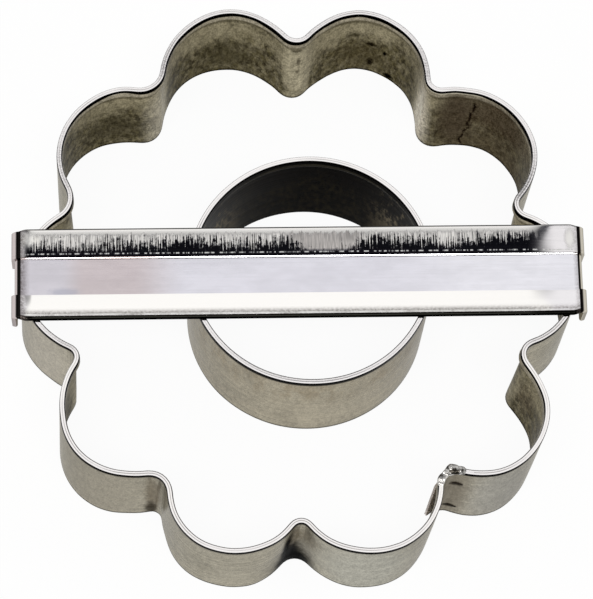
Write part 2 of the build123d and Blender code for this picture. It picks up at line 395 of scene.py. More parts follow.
# Ten-lobed line of the band's outer face, bent by hand, so each lobe strays a little and leans from foot to rim
flower = {
    "lobes": 10, "lobeRadius": 10.7,
    "reachX": 44.2, "reachY": 46.2, "endReach": 43.2,
    # x, y, radius
    "stray": [(-0.61, -0.93, 0.64), (-0.32, -1.19, 0.53), (0.31, 0.02, -0.15), (0.21, -0.62, 0.56),
              (0.59, -0.45, 0.48), (1.48, -0.28, 1.51), (0.83, 0.52, 0.70), (-0.25, 0.41, -0.11),
              (-0.56, 0.77, 0.67), (0.01, -0.73, 0.25)],
    "lean": [(-0.19, -0.36, 0.15), (-0.19, 0.05, 0.03), (-0.42, -0.75, 0.78), (0.23, -0.58, 0.59),
             (-0.09, -0.16, -0.19), (0.51, -0.16, 0.45), (1.43, 0.07, 0.45), (0.38, -0.89, -0.52),
             (0.09, -0.30, -0.10), (-0.52, 0.14, 0.49)],
    "rimNotches": [1.50, 1.60, 1.60, 2.92, 3.21, 1.22, 2.63, 1.60, 1.77, 1.50],
    "footNotches": [2.06, 2.52, 2.40, 2.69, 2.80, 1.60, 1.20, 2.36, 1.76, 1.50],
    # small dents and swells, outward, evenly spread along the line, in hundredths of a mm
    "rimPush": [
        -7, -10, -1, 8, 9, 6, 0, -4, -10, -24, -46, -52, -33, -1, 7, 10, 11, 12, 12, 12, 12,
        11, 10, 8, 3, -6, -8, -9, -9, -16, -31, -43, -49, -47, -36, -24, 13, 42, 23, 0, -14, -30,
        -42, -46, -39, -30, -30, -35, -36, -21, 0, -15, -20, -12, -3, -1, -14, -32, -44, -46, -45, -39, -31,
        -16, -8, -16, -35, -45, -44, -39, -30, -20, -9, 3, 11, 3, 1, -1, -3, -5, -8, -10, -11, -11,
        -10, -10, -7, -11, -10, -10, -8, -1, 24, 38, 44, 39, 27, 14, 14, 16, 15, 25, 29, 29, 24,
        12, 9, 7, 19, 38, 50, 58, 46, 35, 17, 4, 3, 7, 15, 18, 22, 21, 15, 3],
    "footPush": [
        1, 13, 25, 25, 7, -17, -31, -34, -28, -29, -46, -52, -29, -14, -3, 11, 20, 21, 18, 13, 8,
        2, -4, -11, -17, -24, -30, -32, -27, -14, 5, 9, 17, 22, 13, 0, 4, 15, 22, 15, 23, 23,
        11, 6, 13, 17, 6, -9, -6, 26, 44, 31, 12, 10, 9, 4, 8, 15, 15, 6, -6, -2, 10,
        10, 0, 2, 24, 36, 39, 33, 22, 14, 8, 5, 5, 7, 12, 20, 30, 41, 52, 59, 58, 41,
        12, -11, -13, -9, -24, -37, -37, -29, -18, -7, 0, 0, -9, -15, 12, 42, 9, -19, -14, -8, -11,
        -22, -22, -7, 5, -2, -13, -21, -31, -37, -32, -30, -30, -20, -9, -10, -19, -20, -15, -6],
    "softening": 0.45, "pitch": 0.1,
    # the painted highlight on the inner bulges sits beside their middles
    "shineShift": [0.0, 0.0, 3.2, -0.6, -3.0, 0.0, 0.0, 0.0, 0.0, 0.0],
    "seamNotch": 8, "slitTurn": 12.0, "slitGap": 0.004,
}


# Level 0 is the foot, level 1 the rim
def lobeCircle(k, level):
    k %= flower["lobes"]
    turn = 2 * pi * k / flower["lobes"]
    radius = flower["lobeRadius"]
    reachX = flower["endReach"] if k % (flower["lobes"] // 2) == 0 else flower["reachX"]
    x, y, wider = [a + b * (level - 0.5) for a, b in zip(flower["stray"][k], flower["lean"][k])]
    centre = Vector(((reachX - radius) * cos(turn) + x, (flower["reachY"] - radius) * sin(turn) + y))
    return centre, radius + wider


def notchCircle(k, level):
    first, firstReach = lobeCircle(k, level)
    second, secondReach = lobeCircle(k + 1, level)
    k %= flower["lobes"]
    radius = flower["footNotches"][k] * (1 - level) + flower["rimNotches"][k] * level
    firstReach += radius
    secondReach += radius
    step = second - first
    run = (step.length_squared + firstReach**2 - secondReach**2) / (2 * step.length)
    ahead = step.normalized()
    return first + ahead * run + Vector((ahead.y, -ahead.x)) * sqrt(firstReach**2 - run**2), radius


def bearing(start, end):
    return atan2(end.y - start.y, end.x - start.x)


# Lobes and notches by turns, from the lobe after the seam
def flowerArcs(level):
    arcs = []
    first = flower["seamNotch"] + 1
    for k in range(first, first + flower["lobes"]):
        centre, radius = lobeCircle(k, level)
        before = notchCircle(k - 1, level)[0]
        after, notchRadius = notchCircle(k, level)
        start = bearing(centre, before)
        arcs.append((centre, radius, start, (bearing(centre, after) - start) % (2 * pi)))
        start = bearing(after, centre)
        sweep = (bearing(after, lobeCircle(k + 1, level)[0]) - start) % (2 * pi) - 2 * pi
        arcs.append((after, notchRadius, start, sweep))
    return arcs


middleArcs = flowerArcs(0.5)
arcCounts = [max(2, round(abs(sweep) * radius / flower["pitch"])) for centre, radius, start, sweep in middleArcs]


def flowerLine(level):
    points = []
    for arc, count in zip(flowerArcs(level), arcCounts):
        points += arcPoints(*arc, count)
    soft = softened(points, flower["softening"], flower["pitch"])
    pushes = [a / 100 * (1 - level) + b / 100 * level for a, b in zip(flower["footPush"], flower["rimPush"])]
    return pushed(soft, pushes)


seamRadius = lobeCircle(flower["seamNotch"] + 1, 0.5)[1]
slitRun = radians(flower["slitTurn"]) * seamRadius      # from the lobe's start to the slit
seamNotchRadius = middleArcs[-1][1]
flowerAt, flowerRuns = closedWall(flowerLine(0.0), flowerLine(1.0), slitRun)
flowerLength = flowerRuns[-1]
seamNotchRun = flowerLength - flowerRuns[sum(arcCounts[:-1])]
notchRuns = [flowerRuns[sum(arcCounts[:2 * i + 1]) + arcCounts[2 * i + 1] // 2] - slitRun + shift
             for i, shift in enumerate(flower["shineShift"])]
print("flower line", round(flowerLength, 1), "mm long")

# Tinned strip, as on the band and the ring: its noises, the bright rim, the painted shade lines beside it, pits and
# relief
tin = {
    "grains": {   # per mm along, per mm across, seed, detail, roughness
        "streaks": (0.03, 2.4, 1.7, 4.0, 0.6), "clouds": (0.16, 0.07, 5.3, 5.0, 0.6),
        "mottle": (0.75, 0.3, 8.9, 6.0, 0.75), "blotch": (1.3, 0.5, 14.2, 4.0, 0.65),
        "fine": (3.6, 1.5, 2.2, 3.0, 0.6), "wear": (0.5, 2.0, 15.5, 4.0, 0.6),
    },
    "rim": (0.98, 0.96, 0.91), "dullRim": (0.78, 0.75, 0.7), "rimRoughness": (0.11, 0.11, 0.11),
    "line": (0.003, 0.0025, 0.002), "pit": (0.03, 0.025, 0.02),
    "pits": (0.32, 0.035, 0.12, 4.4),   # per mm, size, how many of them show, seed
    "roughness": 0.3, "streaks": 0.1, "clouds": 0.3, "relief": 0.00002,
    # heights of painted shade: low in the lobes, under the fold's free edge, and along the foot
    "lowShadeLevels": (19.0, 8.0), "gapLevels": (20.1, 20.9), "footLevels": (0.95, 0.35),   # heights
    "crease": (0.06, 16.5, 2.0), "lineFoot": (0.09, 17.5, 2.0),   # per mm along, seed, detail
}


def notchShare():
    return put("ShaderNodeAttribute", attribute_name="notch").outputs["Fac"]


def tinplate(name, look, stains):
    material, shader, along, across, height = newMaterial(name, look["edgeTint"])
    streaks, clouds, mottle, blotch, fine, wear = [grain(along, across, *run) for run in tin["grains"].values()]
    inside = between(across, hemAt["innerRound"], hemAt["innerRound"] + 0.2)
    notch = notchShare()
    # the inner face is painted darker than the outer as shade of the enclosed inside; the bulges by the notches are
    # painted lighter as highlight
    colour = tint(inside, look["outer"], tint(notch, look["inner"], look["bulge"]))
    colour = shaded(colour, between(streaks, 0.3, 0.72, 1.0 - tin["streaks"], 1.0 + tin["streaks"]))
    # darker mottling, with painted shade added low in the middle of the lobes on the inner face
    low = times(between(height, *tin["lowShadeLevels"]), between(notch, 0.7, 0.1), inside)
    mottleAndLowShade = between(plus(clouds, times(low, 0.34)), 0.42, 0.76)
    share = between(inside, 0.0, 1.0, tin["clouds"], look["insideClouds"])
    mottleAndLowShade = times(mottleAndLowShade, share, between(mottle, 0.3, 0.6, 0.25, 1.0))
    colour = tint(mottleAndLowShade, colour, tint(between(blotch, 0.4, 0.62), look["dark"], look["olive"]))
    roughness = between(inside, 0.0, 1.0, tin["roughness"], look["insideRoughness"])
    roughness = plus(roughness, between(streaks, 0.3, 0.7, -0.05, 0.06))
    dots = pits(along, across, *tin["pits"])
    colour = tint(dots, colour, tin["pit"])
    # the fold's inner layer is painted lighter as sheen, with a painted shadow under its free edge
    fold = window(across, hemAt["innerRound"] - 0.1, hemAt["innerRound"] + 0.1,
                  hemAt["foldFoot"] - 0.3, hemAt["foldFoot"] - 0.05)
    colour = tint(fold, colour, look["fold"])
    gap = times(between(across, insideFrom, insideFrom + 0.1), between(height, *tin["gapLevels"]),
                between(along, -0.2, 0.0, 0.0, 0.6))
    colour = tint(gap, colour, look["dark"])
    for mask, stainColour, rougher in stains(along, height, inside):
        colour = tint(mask, colour, stainColour)
        roughness = plus(roughness, times(mask, rougher))
    grit = plus(between(fine, 0.3, 0.7, -0.28, 0.28), between(blotch, 0.3, 0.7, -0.2, 0.2))
    colour = shaded(colour, plus(times(grit, between(inside, 0.0, 1.0, 0.5, 1.0)), 1.0))
    # rim burnished bright, with painted shade in the roundings on both sides and in the crease along its top
    crown, crownEnd = hemAt["crown"], hemAt["crownEnd"]
    rim = window(across, crown - 0.1, crown - 0.02, crownEnd, crownEnd + 0.1)
    colour = tint(rim, colour, tint(between(wear, 0.6, 0.85), tin["rim"], tin["dullRim"]))
    roughness = tint(rim, roughness, tin["rimRoughness"])
    away = apart(across, crown + hem["grooveAt"] - hem["outerRound"][0])
    wearAndPaintedLight = between(lineGrain(along, *tin["crease"]), 0.4, 0.6, 0.15, 0.6)
    colour = tint(times(between(away, 0.1, 0.04), wearAndPaintedLight), colour, look["dark"])
    lineFoot = plus(height, between(lineGrain(along, *tin["lineFoot"]), 0.3, 0.7, -0.35, 0.35))
    inLine = times(between(across, crownEnd - 0.14, crownEnd - 0.06),
                   between(lineFoot, look["inLine"] - 0.12, look["inLine"] + 0.12),
                   between(across, insideFrom, insideFrom - 0.1))
    outLine = times(between(across, crown + 0.05, crown + 0.01),
                    between(height, look["outLine"] - 0.1, look["outLine"] + 0.6))
    # the painted dark lines are left off faces turned to the rear, so they sit on the others
    rearward = axes(put("ShaderNodeTexCoord").outputs["Normal"])[1]
    lines = times(larger(inLine, outLine), between(rearward, 0.3, 0.0, 0.12, 1.0))
    colour = tint(lines, colour, tin["line"])
    # painted shade along the foot, where the wall meets the floor
    colour = tint(times(between(height, *tin["footLevels"]), 0.7), colour, tin["line"])
    relief = minus(plus(times(streaks, 0.4), times(fine, 0.3)), dots)
    dress(shader, colour, roughness, relief, tin["relief"])
    return material


# Scalloped band: how uneven the wall is, how far the fold springs, the lapped tail inside the seam, and its looks
band = {
    "step": 0.4, "waviness": 0.16, "rimSag": 0.05, "foldSpring": 0.08, "bulgeWidth": 2.6,
    "tailStep": 0.2, "tailGap": 0.05, "tailClear": 0.04, "tailTop": 22.6, "tailEnd": 1.7, "tailCorner": 1.6,
    "joggle": 1.1, "springTurn": 45.0, "weldRun": -1.95, "weldHeights": {"Lower": 4.2, "Upper": 18.3},
    "look": {
        # inner is the outer tin painted darker as shade; bulge is a painted highlight on the inner notches
        "outer": (0.71, 0.66, 0.53), "inner": (0.345, 0.306, 0.206), "bulge": (0.455, 0.41, 0.292),
        "dark": (0.08, 0.07, 0.048), "olive": (0.137, 0.119, 0.068), "fold": (0.425, 0.383, 0.29),
        "insideRoughness": 0.36, "insideClouds": 1.0, "outLine": 23.75, "inLine": 24.15, "edgeTint": 0.34,
        "rubs": (1.6, 0.07, 12.1, 4.0, 0.65), "rub": (0.11, 0.095, 0.07),
        "flapRuns": (-1.5, -2.5), "flap": (0.84, 0.77, 0.73),
        "crackDrift": (0.16, 33.0, 3.0, 0.6), "crackBreaks": (1.6, 0.6, 37.0, 3.0), "crack": (0.014, 0.008, 0.006),
        "crackPath": (20.0, 2.0, 83.9, 85.2), "crackTop": (21.0, 18.5),   # from height to height, from run to run
    },
    # marks: face, distance along, height, half width, half height, ragged edge, strength, colour
    "marks": [
        # painted highlight on two inner bulges, then mottled painted shade low in the rear lobes
        ("in", 93.4, 6.0, 3.4, 22.0, 0.3, 0.95, (0.9, 0.83, 0.69)),
        ("in", 151.6, 6.0, 4.6, 24.0, 0.3, 0.45, (0.8, 0.745, 0.61)),
        ("in", 134.7, 7.0, 8.0, 9.0, 0.9, 0.7, (0.076, 0.067, 0.043)),
        ("in", 131.3, 15.5, 2.4, 3.4, 1.0, 0.4, (0.128, 0.11, 0.06)),
        ("in", 159.8, 8.0, 8.0, 9.5, 0.9, 0.7, (0.076, 0.067, 0.045)),
        ("in", 109.2, 7.0, 8.2, 9.0, 0.9, 0.65, (0.097, 0.081, 0.047)),
        # the brown lobe with the crack
        ("in", 79.0, 17.0, 13.0, 11.0, 0.6, 0.85, (0.075, 0.056, 0.04)),
        ("in", 79.0, 4.0, 13.0, 10.0, 0.7, 0.75, (0.108, 0.088, 0.06)),
        ("in", 87.0, 13.0, 4.4, 20.0, 0.15, 0.9, (0.098, 0.078, 0.055)),
        # a pit, smudges and thin drips in the lobe beside it
        ("in", 105.2, 10.2, 0.45, 1.2, 0.1, 1.0, (0.003, 0.002, 0.002)),
        ("in", 104.0, 1.5, 1.5, 1.6, 0.6, 1.0, (0.003, 0.003, 0.002)),
        ("in", 107.6, 4.4, 0.8, 2.2, 1.1, 0.95, (0.012, 0.009, 0.006)),
        ("in", 107.7, 12.0, 1.3, 1.3, 1.2, 0.95, (0.02, 0.016, 0.01)),
        ("in", 110.6, 15.2, 1.6, 1.0, 1.3, 0.6, (0.03, 0.025, 0.014)),
        ("in", 121.7, 20.2, 1.2, 0.8, 0.5, 0.7, (0.06, 0.05, 0.035)),
        ("in", 121.4, 15.4, 0.4, 3.0, 0.5, 0.6, (0.06, 0.05, 0.035)),
        ("in", 121.5, 11.6, 0.5, 1.2, 0.5, 0.6, (0.06, 0.05, 0.035)),
        ("in", 24.0, 11.0, 3.5, 9.0, 1.0, 0.4, (0.19, 0.153, 0.107)),
        # each front lobe has its own tone
        ("out", 286.0, 12.0, 12.0, 30.0, 0.3, 0.9, (0.717, 0.702, 0.611)),
        ("out", 234.0, 12.0, 13.0, 30.0, 0.3, 0.9, (0.564, 0.521, 0.425)),
        ("out", 5.0, 12.0, 8.0, 30.0, 0.3, 0.8, (0.56, 0.545, 0.495)),
        ("out", 208.0, 12.0, 8.0, 30.0, 0.3, 0.8, (0.79, 0.738, 0.631)),
        # black stain in the front notch, brown ones beside it and in the notch to its left
        ("out", 273.5, 7.0, 6.0, 13.0, 0.7, 0.75, (0.2, 0.185, 0.155)),
        ("out", 273.2, 17.0, 2.2, 9.0, 1.4, 0.75, (0.24, 0.2, 0.14)),
        ("out", 273.8, 1.5, 5.2, 8.5, 0.6, 1.0, (0.006, 0.006, 0.005)),
        ("out", 273.2, 7.0, 2.6, 8.5, 0.8, 1.0, (0.003, 0.003, 0.003)),
        ("out", 272.3, 13.5, 1.5, 11.0, 0.9, 1.0, (0.003, 0.003, 0.003)),
        ("out", 276.2, 17.5, 3.4, 7.0, 1.5, 0.6, (0.2, 0.165, 0.11)),
        ("out", 244.0, 12.0, 1.9, 17.0, 1.3, 0.75, (0.27, 0.225, 0.16)),
        ("out", 243.4, 3.2, 1.7, 5.5, 1.0, 0.9, (0.06, 0.048, 0.032)),
        # the seam's notch, with soot round the two welds
        ("out", 306.6, 12.0, 4.2, 24.0, 0.5, 0.8, (0.3, 0.265, 0.21)),
        ("out", 306.9, 18.3, 1.5, 1.7, 0.7, 0.95, (0.02, 0.012, 0.007)),
        ("out", 306.8, 4.3, 1.5, 1.4, 0.6, 1.0, (0.003, 0.002, 0.002)),
    ],
}


def bandLean(along, z, ripple=0.0):
    sway = 0.5 + 0.35 * wave(along * 0.1, z * 0.05, 3.1) + ripple * wave(along * 0.5, z * 0.12, 6.4)
    return band["waviness"] * sway


def bandRow(along):
    spots = flowerAt(along)
    row = []
    sag = band["rimSag"] * (0.5 + 0.5 * wave(along * 0.11, 0.0, 7.7))
    spring = band["foldSpring"] * (0.6 + 0.8 * wave(along * 0.2, 0.0, 9.1))
    for inset, z, free in profile:
        point = wallPoint(spots, inset + bandLean(along, z, 0.12) + spring * free, z)
        point.z -= sag * z / hem["height"]
        row.append(point)
    away = min(abs((along - run + flowerLength / 2) % flowerLength - flowerLength / 2) for run in notchRuns)
    return row, bump(away, 0.0, band["bulgeWidth"])


# Tail of the other end: steps inside, goes back round the notch and springs free
def bandTail():
    leave = slitRun + seamNotchRun - radians(band["springTurn"]) * seamNotchRadius
    length = leave + band["joggle"] + band["tailEnd"]
    corner = band["tailCorner"]
    rows, runs = [], []
    for back in steps(-band["joggle"], length, round(length / band["tailStep"])):
        past = max(back - leave, 0.0)
        spots = [(place + Vector((outward.y, -outward.x)) * past, outward)
                 for place, outward in flowerAt(-min(back, leave))]
        inset = (hem["sheet"] + band["tailGap"]) * ease(back, -band["joggle"], -0.1) + band["tailClear"]
        fromEnd = max(corner - (band["tailEnd"] - past), 0.0) if past else 0.0
        cut = corner - sqrt(max(corner**2 - fromEnd**2, 0.0))
        rows.append(tailLoop(spots, inset, cut, band["tailTop"] - cut, lambda z: bandLean(-back, z)))
        runs.append(-back)
    return rows[::-1], runs[::-1]


def buildBand(material):
    skin = newSkin()
    length = flowerLength - flower["slitGap"]
    alongs = steps(flower["slitGap"] / 2, length, round(length / band["step"]))
    rows, notches = zip(*[bandRow(along) for along in alongs])
    addLoft(skin, rows, alongs, hemRuns, notches)
    rows, runs = bandTail()
    addLoft(skin, rows, runs, [insideFrom + run for run in runLengths(rows[0])], [1.0] * len(rows))
    makePiece("scallopBand", skin, material, "outer_band")


# Each stain is its mask, its colour and what it adds to the roughness
def bandStains(along, height, inside):
    look = band["look"]
    outside = minus(1.0, inside)
    # upright rub marks in the outer notches
    rubs = between(grain(along, height, *look["rubs"]), 0.46, 0.66)
    stains = [(times(rubs, calc("POWER", notchShare(), 2.0), outside, 0.75), look["rub"], 0.08)]
    for face, run, z, wide, tall, ragged, strength, colour in band["marks"]:
        mask = spot(along, height, run, z, wide, tall, ragged)
        if face == "out" and (run + wide > flowerLength or run < wide):   # carried on past the slit
            other = run - flowerLength if run > wide else run + flowerLength
            mask = larger(mask, spot(along, height, other, z, wide, tall, ragged))
        stains.append((times(mask, inside if face == "in" else outside, strength), colour, 0.06))
    # the free end of the tail is paler and rough
    stains.append((times(between(along, *look["flapRuns"]), inside), look["flap"], 0.4))
    # a crooked stain runs down one rear lobe like a crack
    drift = times(minus(lineGrain(height, *look["crackDrift"]), 0.5), 3.0)
    off = apart(along, plus(drift, between(height, *look["crackPath"])))
    broken = between(grain(along, height, *look["crackBreaks"]), 0.34, 0.52)
    crack = times(between(off, 0.42, 0.05), broken, between(height, *look["crackTop"]))
    stains.append((times(crack, inside, 0.9), look["crack"], 0.1))
    return stains


buildBand(tinplate("bandTin", band["look"], bandStains))

# Inner ring, a little oval and off centre, its own lap hidden under the strap
ring = {
    "x": 1.83, "y": 0.75, "radiusX": 19.07, "radiusY": 18.61, "points": 1200, "slitGap": 0.03, "slit": 180.0,
    "step": 0.4, "waviness": 0.1, "foldSpring": 0.08,
    "lapTurn": 15.0, "joggleTurn": 4.0, "tailSteps": 30, "tailGap": 0.05, "tailClear": 0.02, "tailTop": 22.6,
    "look": {
        # the inside is painted near black as shade, the dark reflection under the strap
        "outer": (0.57, 0.515, 0.395), "inner": (0.006, 0.005, 0.004), "bulge": (0.006, 0.005, 0.004),
        "dark": (0.004, 0.004, 0.003), "olive": (0.02, 0.017, 0.01), "fold": (0.03, 0.027, 0.02),
        "insideRoughness": 0.34, "insideClouds": 0.6, "outLine": 23.6, "inLine": 23.6, "edgeTint": 0.45,
        "browns": (0.5, 0.12, 22.0, 5.0, 0.7), "brownLevels": (11.0, 19.0), "brown": (0.36, 0.285, 0.18),
        "specks": (1.1, 0.4, 25.0, 5.0, 0.75), "speckTurns": (30.0, 62.0), "speck": (0.3, 0.25, 0.165),
    },
}
ringPoints = []
for turn in steps(radians(ring["slit"]), 2 * pi, ring["points"])[:-1]:
    ringPoints.append(Vector((ring["x"] + ring["radiusX"] * cos(turn), ring["y"] + ring["radiusY"] * sin(turn))))
ringAt, ringPointRuns = closedWall(ringPoints, ringPoints, 0.0)
ringLength = ringPointRuns[-1]


def ringLean(along, z):
    return ring["waviness"] * (0.5 + 0.4 * wave(along * 0.12, z * 0.05, 13.1))


def buildRing(material):
    skin = newSkin()
    length = ringLength - ring["slitGap"]
    alongs = steps(ring["slitGap"] / 2, length, round(length / ring["step"]))
    rows = []
    for along in alongs:
        spots = ringAt(along)
        spring = ring["foldSpring"] * (0.6 + 0.8 * wave(along * 0.2, 0.0, 19.1))
        rows.append([wallPoint(spots, inset + ringLean(along, z) + spring * free, z) for inset, z, free in profile])
    addLoft(skin, rows, alongs, hemRuns)
    lap, joggle = [ring[key] * (ringLength / 360) for key in ("lapTurn", "joggleTurn")]
    runs = steps(-lap, lap + joggle, ring["tailSteps"])
    rows = []
    for run in runs:
        inset = (hem["sheet"] + ring["tailGap"]) * ease(-run, -joggle, -0.1) + ring["tailClear"]
        rows.append(tailLoop(ringAt(run), inset, 0.0, ring["tailTop"], lambda z: ringLean(run % ringLength, z)))
    addLoft(skin, rows, runs, [insideFrom + run for run in runLengths(rows[0])])
    makePiece("holeRing", skin, material, "inner_ring")


def ringStains(along, height, inside):
    look = ring["look"]
    # brown staining below the rim in front, in short upright streaks
    under = times(between(height, *look["brownLevels"]), minus(1.0, inside))
    browned = times(under, between(grain(along, height, *look["browns"]), 0.42, 0.66))
    # inside, the middle is painted near black as shade; the two ends beside the strap are brown and speckled
    turn = calc("DIVIDE", along, ringLength / 360)
    ends = times(between(apart(turn, 270.0), *look["speckTurns"]), inside)
    specks = plus(grain(along, height, *look["specks"]), between(height, 20.0, 2.0, -0.1, 0.1))
    ends = times(ends, between(specks, 0.45, 0.57))
    return [(times(browned, 0.45), look["brown"], 0.06), (times(ends, 0.85), look["speck"], 0.08)]


buildRing(tinplate("ringTin", ring["look"], ringStains))

# Strap handle: both long edges folded onto its top, both ends bent down over the band
strap = {
    "y": 0.15, "width": 14.8, "sheet": 0.35, "base": 25.0, "flatHalf": 3.5,
    "rearFold": 4.75, "frontFold": 3.9, "rearRise": 1.1, "frontRise": 1.04,
    "foldWide": 0.55, "foldTall": 0.33, "foldSlope": 0.27, "inset": 0.75, "tip": (0.5, 0.02), "clear": 0.03,
    "bendStart": 43.2, "bendZ": 24.7, "bendRadius": 0.3, "tabDrop": 3.9, "tabCorner": 1.1,
    "step": 0.3, "foldSteps": 20, "roundSteps": 18, "middleSteps": 28, "bendSteps": 14, "tabSteps": 16,
    "waviness": 0.012, "endLevel": 0.85, "press": {-1: (41.0, 42.5), 1: (35.0, 40.0)}, "endNarrow": 0.055,
    "curl": 0.33, "curlWidth": 0.35, "edgeLine": 0.4, "whiteEdge": 0.2,
    "look": {   # places are mm along the strap from its middle
        "grains": {
            "streaks": (0.05, 3.0, 41.0, 4.0, 0.6), "clouds": (0.14, 0.3, 43.0, 5.0, 0.65),
            "specks": (2.4, 2.4, 45.0, 5.0, 0.75), "comb": (5.5, 0.14, 47.0, 2.0, 0.5),
            "broken": (1.5, 1.3, 49.0, 4.0, 0.7), "patchy": (0.11, 0.05, 53.0, 3.0, 0.6),
            "strokes": (5.0, 0.3, 57.0, 2.0),
        },
        # noises that only run along it
        "lineGrains": {
            "ragged": (1.4, 51.0, 4.0, 0.7), "highlightGrain": (0.25, 59.0, 4.0, 0.6), "dashed": (1.3, 63.0, 3.0, 0.6),
        },
        "edgeTint": 0.42, "roughness": (0.11, 0.15), "relief": 0.00002,
        "leftEnd": (0.69, 0.67, 0.69),   # then a little pink, brighter to the right
        "middle": [(-37.0, -33.0, (0.65, 0.585, 0.575)), (-26.0, -17.0, (0.79, 0.785, 0.815)),
                   (12.0, 30.0, (0.88, 0.88, 0.895))],
        "shade": (0.42, 0.43, 0.5), "shadeAt": -36.3, "shadeSize": (3.4, 1.0, 0.7),
        "front": (0.94, 0.925, 0.9), "frontGrey": (0.27, 0.25, 0.235), "frontShine": (0.85, 0.84, 0.82),
        "frontEdge": (0.003, 0.003, 0.0025),
        "rear": (0.93, 0.91, 0.88), "rearDark": (0.075, 0.075, 0.09), "rearLine": (0.004, 0.004, 0.004),
        "rearEdge": (0.05, 0.046, 0.042),
        "darkPart": (-42.8, -41.8, 35.2, 38.6), "combedPart": (-41.8, -40.6, 34.5, 38.0),
        "dashes": (0.66, 0.66, 0.65), "scuff": (0.97, 0.95, 0.92), "dullScuff": (0.64, 0.61, 0.59),
        "wearAndPaintedLight": (0.97, 0.955, 0.92),
        # along, from the free edge, half width, half height, ragged edge
        "wornSpots": [(-41.6, 2.9, 2.3, 1.9, 0.8), (42.0, 2.3, 1.1, 2.4, 0.6)],
        "tarnish": (0.12, 0.1, 0.09),
        "leftTarnish": (-41.3, -43.0, -43.2, -43.4), "rightTarnish": (42.3, 43.1, 43.2, 43.4),
        "leftTab": (0.6, 0.535, 0.525), "rightTab": (0.58, 0.54, 0.46), "tabFrom": (43.24, 43.3),
        "bend": (0.01, 0.009, 0.008),
        "leftBend": (-42.86, -42.94, -43.28, -43.36), "rightBend": (43.12, 43.17, 43.3, 43.37),
    },
}


# The folded edge from its free side out to the fold and round to the bottom: y, height
def hemTop(side, fold, rise):
    half, wide, tall = strap["width"] / 2, strap["foldWide"], strap["foldTall"]
    slope = strap["foldSlope"]
    start = atan2(tall, slope * wide)
    endY = half - wide + wide * cos(start)
    endHeight = tall + tall * sin(start)
    free = half - fold
    run = endY - free
    first = ((rise - endHeight) / run - 0.25 * slope) / 0.75
    fourth = (slope - first) / (4 * run**3)
    points = [(side * (free + d), rise - first * d - fourth * d**4) for d in steps(0.0, run, strap["foldSteps"])[:-1]]
    for turn in steps(start, -(start + pi / 2), strap["roundSteps"]):
        points.append((side * (half - wide + wide * cos(turn)), tall + tall * sin(turn)))
    return points


# The same line one sheet further in, from the middle's top round the fold to the free side
def hemUnder(side, fold, rise):
    sheet = strap["sheet"]
    half = strap["width"] / 2
    outer = hemTop(side, fold, rise)[:strap["foldSteps"]]
    turn = [(y, h - sheet - strap["curl"] * bump(abs(y), half - fold, strap["curlWidth"])) for y, h in outer]
    turn = [(y, max(h, sheet + strap["clear"])) for y, h in turn if abs(y) < half - strap["inset"]]
    tipInset, tipRise = strap["tip"]
    return [(side * (half - strap["inset"]), sheet), (side * (half - tipInset), sheet + tipRise)] + turn[::-1]


def strapProfile():
    points = [(0.0, 0.0), (-strap["flatHalf"], 0.0)]
    points += hemTop(-1, strap["frontFold"], strap["frontRise"])[::-1]
    frontTop = len(points) - 1
    points += hemUnder(-1, strap["frontFold"], strap["frontRise"])[::-1]
    edge = strap["width"] / 2 - strap["inset"]
    middle = len(points) - 1
    points += [(y, strap["sheet"]) for y in steps(-edge, 2 * edge, strap["middleSteps"])[1:-1]]
    points += hemUnder(1, strap["rearFold"], strap["rearRise"])
    rear = len(points)
    points += hemTop(1, strap["rearFold"], strap["rearRise"])
    points.append((strap["flatHalf"], 0.0))
    frontFold = frontTop - strap["foldSteps"] - 1
    return points, {"frontFold": frontFold, "frontTop": frontTop, "rear": rear, "middle": middle}


strapSection, strapMarks = strapProfile()
strapRuns = runLengths([Vector(p) for p in strapSection])


# The run is measured along the strip from its middle; past the bend it goes down the tab
def strapPoint(run, y, h):
    side = 1 if run >= 0 else -1
    run = abs(run)
    start, radius = strap["bendStart"], strap["bendRadius"]
    arc = radius * pi / 2
    yWorld = y + strap["y"]
    if run <= start:
        return Vector((side * run, yWorld, strap["base"] + h))
    if run <= start + arc:
        turn = (run - start) / radius
        return Vector((side * (start + (radius + h) * sin(turn)), yWorld, strap["bendZ"] + (radius + h) * cos(turn)))
    corner = strap["tabCorner"]
    over = max(abs(y) - (strap["width"] / 2 - corner), 0.0)
    drop = strap["tabDrop"] - (corner - sqrt(max(corner**2 - over**2, 0.0)))
    share = (run - start - arc) / strap["tabDrop"]
    return Vector((side * (start + radius + h), yWorld, strap["bendZ"] - drop * share))


def buildStrap(material):
    start, arc = strap["bendStart"], strap["bendRadius"] * pi / 2
    end = steps(start, arc, strap["bendSteps"])[1:] + steps(start + arc, strap["tabDrop"], strap["tabSteps"])[1:]
    runs = [-run for run in end[::-1]] + steps(-start, 2 * start, round(2 * start / strap["step"])) + end
    rows = []
    for run in runs:
        row = []
        # towards the bends the folds are pressed flatter and the strip draws in a little
        near = ease(abs(run), *strap["press"][1 if run > 0 else -1])
        narrow = 1 - strap["endNarrow"] * ease(abs(run), start - 1.2, start + 0.5)
        for i, (y, h) in enumerate(strapSection):
            swell = strap["waviness"] * (wave(run * 0.07, y * 0.12, 31.0) - 1) if h > 0.3 else 0.0
            if strapMarks["frontTop"] < i < strapMarks["rear"]:
                press = (min(h, strap["endLevel"] - strap["sheet"]) - h) * near
            else:
                press = (strap["endLevel"] - h) * near * ease(h, 0.45, 0.62)
            row.append(strapPoint(run, y * narrow, h + swell + press))
        rows.append(row)
    skin = newSkin()
    addLoft(skin, rows, runs, strapRuns)
    makePiece("strapHandle", skin, material, "handle_strap")


